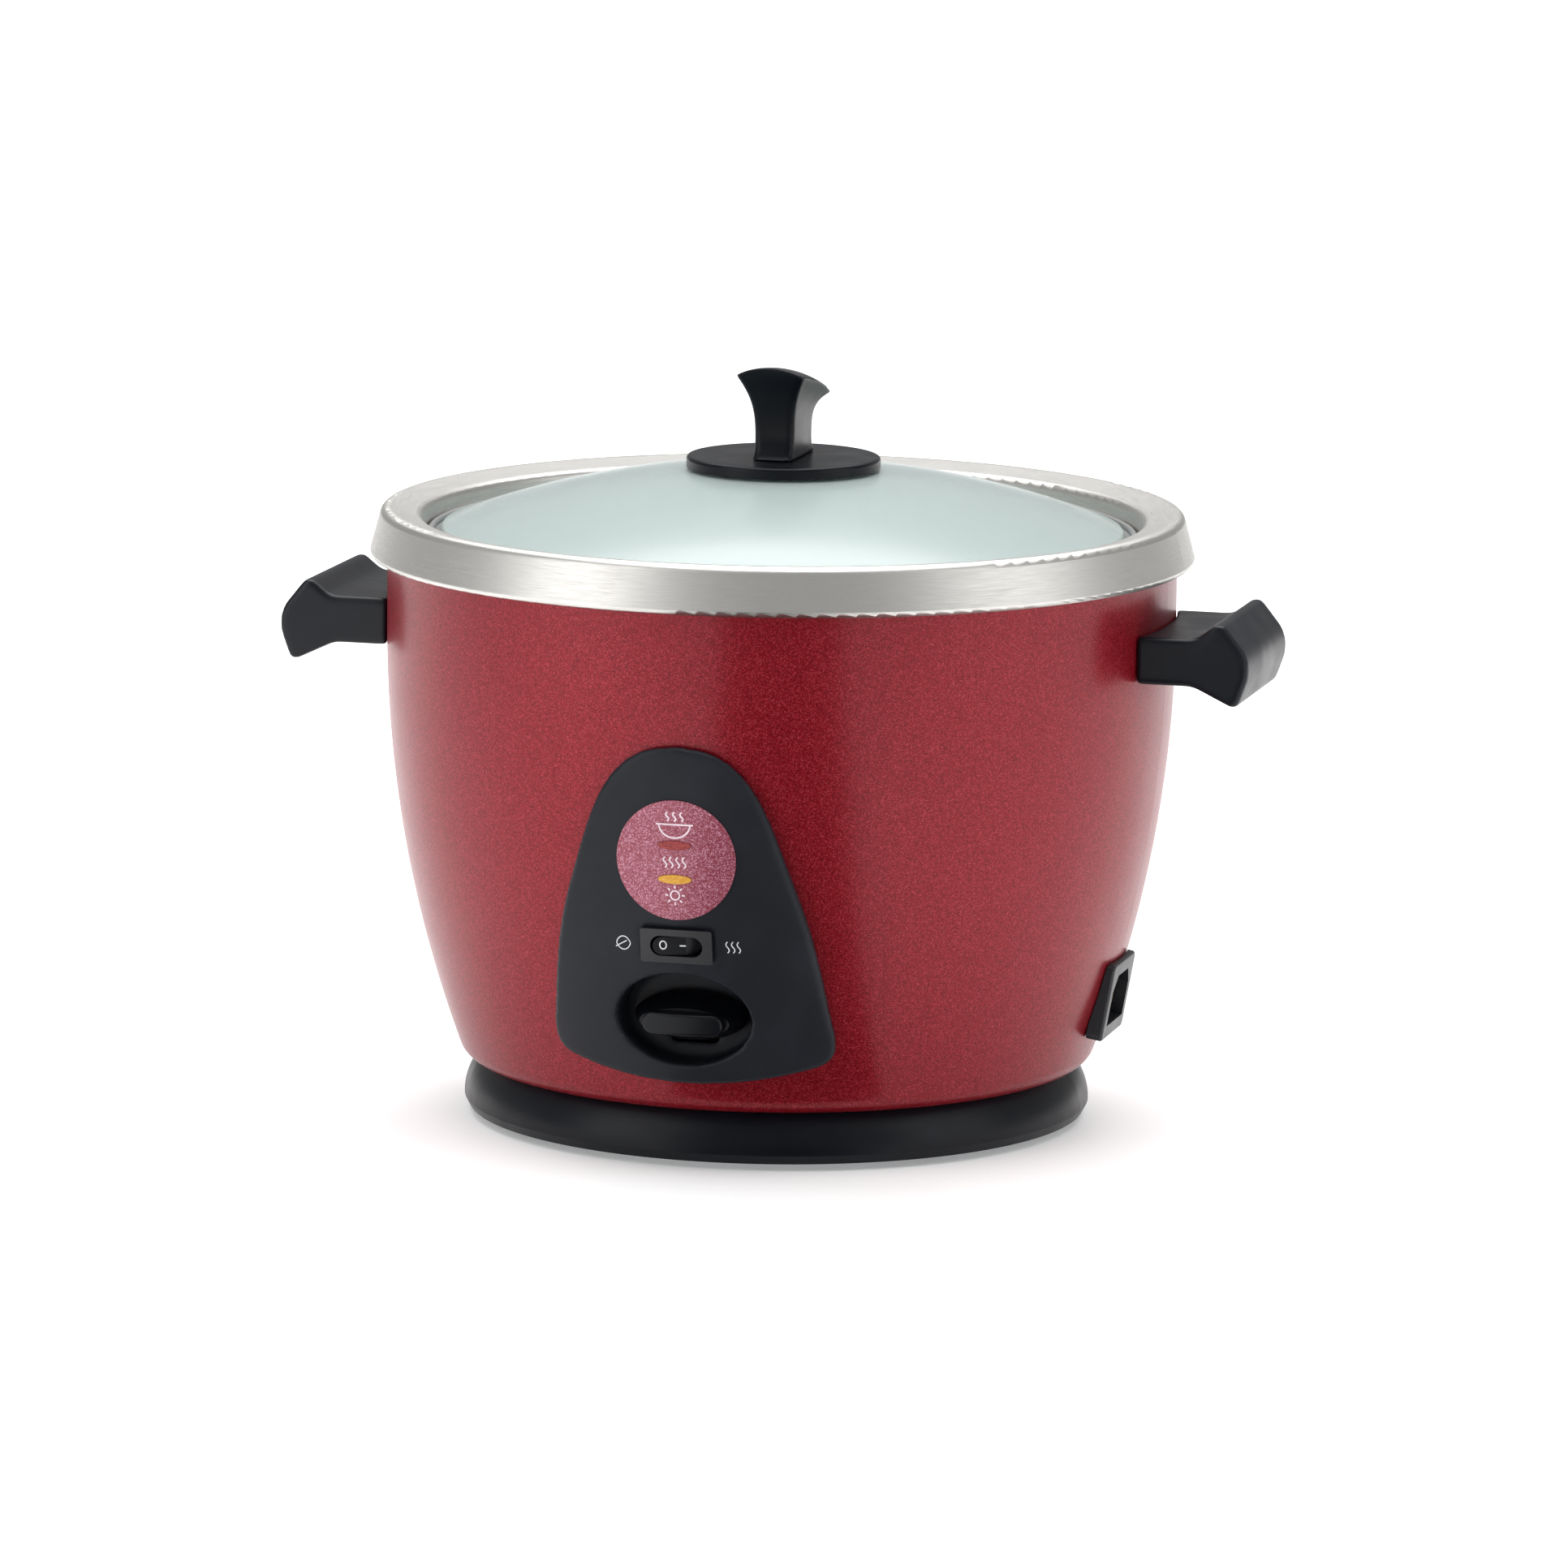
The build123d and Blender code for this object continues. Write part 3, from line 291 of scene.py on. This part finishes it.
FINISHES = {
    "red_paint": red_paint(),
    "brushed_rim": brushed_steel("brushed_rim", srgb(214, 212, 208), roughness=0.38),
    "satin_black": satin_plastic("satin_black", srgb(10, 13, 20), 0.36, specular=0.20),
    "panel_black": satin_plastic("panel_black", srgb(31, 33, 38), 0.36, specular=0.14),
    "handle_black": satin_plastic(
        "handle_black", srgb(11, 14, 22), 0.36, grain=2100, height=0.04 * MM, specular=0.27
    ),
    "knob_black": satin_plastic("knob_black", srgb(9, 12, 19), 0.32, specular=0.17),
    "key_black": satin_plastic("key_black", srgb(9, 11, 16), 0.34, specular=0.25),
    "switch_black": satin_plastic("switch_black", srgb(18, 19, 24), 0.30, grain=3600, height=0.02 * MM),
    "inlet_black": satin_plastic("inlet_black", srgb(24, 26, 31), 0.38),
    "label_red": label_film(),
    "lens_red": tinted_lens("lens_red", srgb(142, 26, 30), srgb(184, 66, 60)),
    "lens_amber": tinted_lens("lens_amber", srgb(222, 152, 22), srgb(244, 196, 74)),
    "lid_glass": clear_glass(),
    "pot_aluminium": drawn_aluminium("pot_aluminium", srgb(205, 206, 206), 0.34),
    "liner": sheet_metal("liner", srgb(176, 180, 182), 0.36),
    "cast_aluminium": cast_aluminium(),
    "zinc": sheet_metal("zinc", srgb(186, 190, 194), 0.30, patches=190),
    "cover_steel": sheet_metal("cover_steel", srgb(168, 172, 176), 0.34, patches=85, contrast=0.72),
    "steel": brushed_steel("steel", srgb(196, 196, 194), 0.26, across=6500, around=10),
    "spring_steel": plain("spring_steel", srgb(150, 152, 156), 0.30, 2400, 0.02 * MM, Metallic=1.0),
    "brass": plain("brass", srgb(212, 178, 96), 0.28, 1800, 0.02 * MM, Metallic=1.0),
    "heater": plain("heater", srgb(112, 110, 108), 0.48, 1500, 0.05 * MM, Metallic=0.9),
    "ferrite": plain("ferrite", srgb(58, 58, 62), 0.50, 1700, 0.06 * MM),
    "rubber": plain("rubber", srgb(40, 40, 42), 0.72, 1500, 0.08 * MM),
    "phenolic": plain("phenolic", srgb(52, 36, 30), 0.42, 1100, 0.05 * MM),
    "board": plain("board", srgb(188, 150, 96), 0.55, 900, 0.04 * MM),
    "mica": plain("mica", srgb(178, 166, 138), 0.50, 500, 0.08 * MM),
    "sleeve": plain("sleeve", srgb(226, 222, 208), 0.78, 1900, 0.15 * MM),
    "neon": plain("neon", srgb(214, 208, 200), 0.12, 700, 0.02 * MM, Transmission_Weight=0.6),
    "silicone": plain("silicone", srgb(206, 206, 200), 0.55, 900, 0.04 * MM),
    "live": wire_cover("live", srgb(132, 62, 34)),
    "neutral": wire_cover("neutral", srgb(44, 84, 168)),
    "earth": wire_cover("earth", srgb(206, 196, 48), srgb(36, 126, 60)),
    "print_white": plain("print_white", srgb(214, 214, 216), 0.50, 1500, 0.02 * MM),
    "print_pink": plain("print_pink", srgb(226, 206, 216), 0.50, 1500, 0.02 * MM),
}

WEARS = {
    "red_paint": ("outer_shell",),
    "brushed_rim": ("rim_ring",),
    "satin_black": ("base_ring",),
    "panel_black": ("control_panel",),
    "handle_black": ("handle_left", "handle_right"),
    "knob_black": ("knob_disc", "knob_grip"),
    "key_black": ("cook_key",),
    "switch_black": ("switch_housing", "switch_rocker"),
    "inlet_black": ("inlet_housing",),
    "label_red": ("panel_label",),
    "lens_red": ("lamp_lens_cook",),
    "lens_amber": ("lamp_lens_warm",),
    "lid_glass": ("lid_glass",),
    "pot_aluminium": ("inner_pot",),
    "liner": ("inner_liner",),
    "cast_aluminium": ("heating_plate", "sensor_cup"),
    "zinc": ("cover_screws", "plate_screws", "plate_spacers", "thermostat_frame", "lever_bracket",
             "cook_lever", "handle_screws"),
    "cover_steel": ("bottom_cover",),
    "steel": ("lever_pin", "plunger_stem", "knob_screw", "steam_vent"),
    "spring_steel": ("sensor_spring", "plunger_spring"),
    "brass": ("contact_leaf", "switch_terminals", "inlet_pins", "thermostat_rivets", "heater_terminals"),
    "heater": ("heater_tube",),
    "ferrite": ("sensor_ferrite", "plunger_magnet"),
    "rubber": ("feet",),
    "phenolic": ("contact_switch",),
    "board": ("lamp_board",),
    "mica": ("keep_warm_band",),
    "sleeve": ("thermal_fuse",),
    "neon": ("neon_lamps",),
    "silicone": ("knob_washer",),
    "live": ("live_wire",),
    "neutral": ("neutral_wire",),
    "earth": ("earth_wire",),
}


def dress(obj, finish):
    """Gives every face of a mesh one finish."""
    obj.data.materials.clear()
    obj.data.materials.append(FINISHES[finish].material)


for finish, names in WEARS.items():
    for name in names:
        dress(NODES[name], finish)

# ---------------------------------------------------------------- moulded pieces with rounded edges


def rounded(node, body, finish, voxel, passes):
    """A copy of a CAD node whose edges are softened as a mould leaves them; it stands for the node.
    """
    piece = bpy.data.objects.new(node + "_moulded", NODES[node].data.copy())
    bpy.context.scene.collection.objects.link(piece)
    remesh = piece.modifiers.new("remesh", "REMESH")
    remesh.mode = "VOXEL"
    remesh.voxel_size = voxel
    soften = piece.modifiers.new("soften", "SMOOTH")
    soften.factor = 0.5
    soften.iterations = passes
    bpy.context.view_layer.update()
    shaped = piece.evaluated_get(bpy.context.evaluated_depsgraph_get())
    mesh = bpy.data.meshes.new_from_object(shaped)
    piece.modifiers.clear()
    piece.data = mesh
    piece.data.shade_smooth()
    dress(piece, finish)
    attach(piece, body)
    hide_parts(node)
    return piece


panel = rounded("control_panel", "housing", "panel_black", voxel=0.8 * MM, passes=22)
rounded("knob_grip", "lid", "knob_black", voxel=0.45 * MM, passes=8)
for side in ("left", "right"):
    rounded(f"handle_{side}", "housing", "handle_black", voxel=0.8 * MM, passes=12)

# ---------------------------------------------------------------- coil springs


def coil_spring(node, body):
    """A copy of a spring's mesh that rides a moving body.
    """
    piece = bpy.data.objects.new(node + "_coil", NODES[node].data.copy())
    bpy.context.scene.collection.objects.link(piece)
    dress(piece, "spring_steel")
    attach(piece, body)
    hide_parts(node)
    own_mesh(piece)


coil_spring("plunger_spring", "plunger")
coil_spring("sensor_spring", "sensor")

# ---------------------------------------------------------------- printed marks


def surface_of(obj):
    """Ray-cast tree of a mesh whose own coordinates are those of the row frame."""
    corners = [vertex.co.copy() for vertex in obj.data.vertices]
    faces = [list(polygon.vertices) for polygon in obj.data.polygons]
    return BVHTree.FromPolygons(corners, faces)


INK_DEPTH = 0.05 * MM
IN_FRONT_Y = -0.3  # where the rays that find the surface start, well clear of the cooker


def printed(name, lines, width, tree, body, finish):
    """Thin ink lines, drawn in the XZ plane in millimetres and laid along Y onto a surface.

    Each line is its points and whether it is closed.
    """
    vertices, faces = [], []
    for points, closed in lines:
        count = len(points)
        start = len(vertices)
        for i, (x, z) in enumerate(points):
            before = points[i - 1] if i or closed else points[i]
            after = points[(i + 1) % count] if i < count - 1 or closed else points[i]
            along = Vector((after[0] - before[0], after[1] - before[1])).normalized()
            normal = Vector((-along.y, along.x)) * width / 2
            for edge in (1, -1):
                px, pz = (x + edge * normal.x) * MM, (z + edge * normal.y) * MM
                hit = tree.ray_cast(Vector((px, IN_FRONT_Y, pz)), Vector((0, 1, 0)))[0]
                for depth in (-INK_DEPTH, INK_DEPTH):
                    vertices.append((px, hit.y + depth, pz))
        spans = count if closed else count - 1
        for i in range(spans):
            a, b = start + 4 * i, start + 4 * ((i + 1) % count)
            for j, k in ((0, 2), (2, 3), (3, 1), (1, 0)):
                faces.append((a + j, a + k, b + k, b + j))
        if not closed:
            last = start + 4 * (count - 1)
            faces.append((start, start + 1, start + 3, start + 2))
            faces.append((last, last + 2, last + 3, last + 1))
    mesh = bpy.data.meshes.new(name)
    mesh.from_pydata(vertices, [], faces)
    tidy = bmesh.new()
    tidy.from_mesh(mesh)
    bmesh.ops.recalc_face_normals(tidy, faces=tidy.faces)
    tidy.to_mesh(mesh)
    tidy.free()
    piece = bpy.data.objects.new(name, mesh)
    bpy.context.scene.collection.objects.link(piece)
    dress(piece, finish)
    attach(piece, body)


def arc(x, z, radius_x, radius_z, start, end, steps=24):
    """Points on an elliptical arc, from start to end in degrees."""
    turns = [math.radians(start + (end - start) * i / steps) for i in range(steps + 1)]
    return [(x + radius_x * math.cos(t), z + radius_z * math.sin(t)) for t in turns]


def wave(x, z, height, swing, steps=16):
    """Points of one rising wave of steam."""
    rises = [i / steps for i in range(steps + 1)]
    return [(x + swing * math.sin(2 * math.pi * t), z + height * t) for t in rises]


def line(x0, z0, x1, z1, steps=8):
    """Points on a straight stroke, close enough together to follow a curved surface."""
    shares = [i / steps for i in range(steps + 1)]
    return [(x0 + (x1 - x0) * t, z0 + (z1 - z0) * t) for t in shares]


# Places and sizes of the marks, in millimetres.
LABEL_Z = 108.4
BOWL_Z = LABEL_Z + 12.0
BOWL_R, BOWL_DEPTH, BOWL_BRIM = 5.2, 4.4, 6.2
STEAM_Z = LABEL_Z + 13.1
HEAT_Z = LABEL_Z - 2.4
SUN_Z = LABEL_Z - 11.6
SUN_R, RAY_START, RAY_END, RAYS = 1.5, 2.3, 3.3, 8
SWITCH_Z = 79.7
LEAF_X, LEAF_R, LEAF_ARCH = -18.6, 2.6, 3.4
OFF_X, OFF_R, OFF_HEIGHT = -4.4, 1.05, 1.35
OPEN, CLOSED = False, True

label_surface = surface_of(NODES["panel_label"])
bowl = [
    (arc(0, BOWL_Z, BOWL_R, BOWL_DEPTH, 180, 360), OPEN),
    (line(-BOWL_BRIM, BOWL_Z, BOWL_BRIM, BOWL_Z), OPEN),
]
bowl += [(wave(x, STEAM_Z, 3.0, 0.5), OPEN) for x in (-2.4, 0.0, 2.4)]
heat = [(wave(x, HEAT_Z, 3.6, 0.55), OPEN) for x in (-3.2, -1.1, 1.1, 3.2)]
warm = [(arc(0, SUN_Z, SUN_R, SUN_R, 0, 345, 23), CLOSED)]
for ray in range(RAYS):
    turn = math.radians(360 / RAYS * ray)
    x, z = math.cos(turn), math.sin(turn)
    warm.append((line(RAY_START * x, SUN_Z + RAY_START * z, RAY_END * x, SUN_Z + RAY_END * z), OPEN))
for name, mark, width in (("label_bowl", bowl, 0.55), ("label_heat", heat, 0.5), ("label_warm", warm, 0.5)):
    printed(name, mark, width, label_surface, "housing", "print_pink")

panel_surface = surface_of(panel)
leaf = [
    (arc(LEAF_X, SWITCH_Z - 1.6, LEAF_R, LEAF_ARCH, 20, 160), OPEN),
    (arc(LEAF_X, SWITCH_Z + 0.7, LEAF_R, LEAF_ARCH, 200, 340), OPEN),
    (line(-21.4, SWITCH_Z - 1.9, -17.4, SWITCH_Z + 0.4), OPEN),
]
steam = [(wave(x, SWITCH_Z - 1.9, 3.8, 0.5), OPEN) for x in (16.6, 18.4, 20.2)]
for name, mark in (("mark_saving", leaf), ("mark_warm", steam)):
    printed(name, mark, 0.34, panel_surface, "housing", "print_white")

rocker_surface = surface_of(NODES["switch_rocker"])
off = [(arc(OFF_X, SWITCH_Z + 0.1, OFF_R, OFF_HEIGHT, 0, 345, 23), CLOSED)]
on = [(line(1.0, SWITCH_Z, 3.0, SWITCH_Z), OPEN)]
for name, mark in (("rocker_off", off), ("rocker_on", on)):
    printed(name, mark, 0.42, rocker_surface, "rocker", "print_white")

# ---------------------------------------------------------------- camera, light and floor

AZIMUTH = math.radians(14.5)
ELEVATION = math.radians(9.8)
CAMERA_DISTANCE = 3.436
CAMERA_ROLL = math.radians(0.657)
LENS, SENSOR = 234.1, 36.0  # millimetres
FARTHEST = 200.0
AIM = Vector((0.0, 0.0, 0.1115))
AIM_SHIFT = 0.0014  # to the camera's right

back = Vector((
    math.sin(AZIMUTH) * math.cos(ELEVATION),
    -math.cos(AZIMUTH) * math.cos(ELEVATION),
    math.sin(ELEVATION),
))
right = Vector((math.cos(AZIMUTH), math.sin(AZIMUTH), 0.0))
camera_data = bpy.data.cameras.new("camera")
camera_data.lens = LENS
camera_data.sensor_width = SENSOR
camera_data.clip_end = FARTHEST
camera = bpy.data.objects.new("camera", camera_data)
bpy.context.scene.collection.objects.link(camera)
facing = back.to_track_quat("Z", "Y").to_matrix().to_4x4() @ Matrix.Rotation(CAMERA_ROLL, 4, "Z")
camera.matrix_world = Matrix.Translation(AIM + right * AIM_SHIFT + back * CAMERA_DISTANCE) @ facing
bpy.context.scene.camera = camera


LIGHTS_AIM = Vector((0, 0, 0.1))


def softbox(name, azimuth, elevation, distance, width, height, power):
    """Rectangular soft light that faces the object; azimuth 0 is in front of it, at -Y."""
    turn, lift = math.radians(azimuth), math.radians(elevation)
    away = Vector((
        math.sin(turn) * math.cos(lift),
        -math.cos(turn) * math.cos(lift),
        math.sin(lift),
    ))
    data = bpy.data.lights.new(name, "AREA")
    data.shape = "RECTANGLE"
    data.size = width
    data.size_y = height
    data.energy = power
    light = bpy.data.objects.new(name, data)
    bpy.context.scene.collection.objects.link(light)
    turned = away.to_track_quat("Z", "Y").to_matrix().to_4x4()
    light.matrix_world = Matrix.Translation(LIGHTS_AIM + away * distance) @ turned


FACING = math.degrees(AZIMUTH)
softbox("left_box", FACING - 58, elevation=20, distance=1.9, width=1.1, height=1.5, power=10)
softbox("right_box", FACING + 66, elevation=20, distance=2.0, width=1.4, height=1.5, power=8)
softbox("back_box", FACING + 180, elevation=57, distance=2.1, width=2.8, height=0.9, power=25)

WHITE = (1.0, 1.0, 1.0, 1.0)
CEILING_LIGHT, CEILING_SPREAD = 2.6, math.radians(60)
WORLD_LIGHT = 0.34
sun_data = bpy.data.lights.new("ceiling", "SUN")
sun_data.energy = CEILING_LIGHT
sun_data.angle = CEILING_SPREAD
sun = bpy.data.objects.new("ceiling", sun_data)
bpy.context.scene.collection.objects.link(sun)

world = bpy.data.worlds.new("studio")
world.use_nodes = True
world.node_tree.nodes["Background"].inputs["Color"].default_value = WHITE
world.node_tree.nodes["Background"].inputs["Strength"].default_value = WORLD_LIGHT
bpy.context.scene.world = world
bpy.context.scene.view_settings.view_transform = "Standard"


def flat_piece(name, corners, z, material):
    """One level face, given by its corners' X and Y, that is part of the stage."""
    mesh = bpy.data.meshes.new(name)
    mesh.from_pydata([(x, y, z) for x, y in corners], [], [tuple(range(len(corners)))])
    obj = bpy.data.objects.new(name, mesh)
    bpy.context.scene.collection.objects.link(obj)
    mesh.materials.append(material)
    return obj


FLOOR_HALF = 90.0
floor_finish = Finish(
    "floor_white", (0.88, 0.88, 0.88, 1.0), 0.75, Emission_Color=WHITE, Emission_Strength=0.23
)
floor_finish.bump(floor_finish.noise(40, 2.0), height=0.2 * MM, strength=0.05)
floor_corners = [(FLOOR_HALF * x, FLOOR_HALF * y) for x, y in ((-1, -1), (1, -1), (1, 1), (-1, 1))]
flat_piece("floor", floor_corners, 0.0, floor_finish.material)

# A black cloth in front of the object, seen only in reflections: it draws the dark streak down the paint.
cloth_finish = Finish("cloth_black", (0.004, 0.004, 0.004, 1.0), 1.0, Specular_IOR_Level=0.0)
towards = Vector((math.sin(AZIMUTH), -math.cos(AZIMUTH)))
across = Vector((math.cos(AZIMUTH), math.sin(AZIMUTH)))
CLOTH_Z = 0.6 * MM
CLOTH_NEAR, CLOTH_FAR = 0.118, 3.0
CLOTH_HALF_NEAR, CLOTH_HALF_FAR = 0.052, 0.85
cloth = flat_piece(
    "cloth",
    [
        tuple(towards * CLOTH_NEAR - across * CLOTH_HALF_NEAR),
        tuple(towards * CLOTH_FAR - across * CLOTH_HALF_FAR),
        tuple(towards * CLOTH_FAR + across * CLOTH_HALF_FAR),
        tuple(towards * CLOTH_NEAR + across * CLOTH_HALF_NEAR),
    ],
    CLOTH_Z,
    cloth_finish.material,
)
for ray in ("camera", "diffuse", "shadow", "transmission"):
    setattr(cloth, f"visible_{ray}", False)
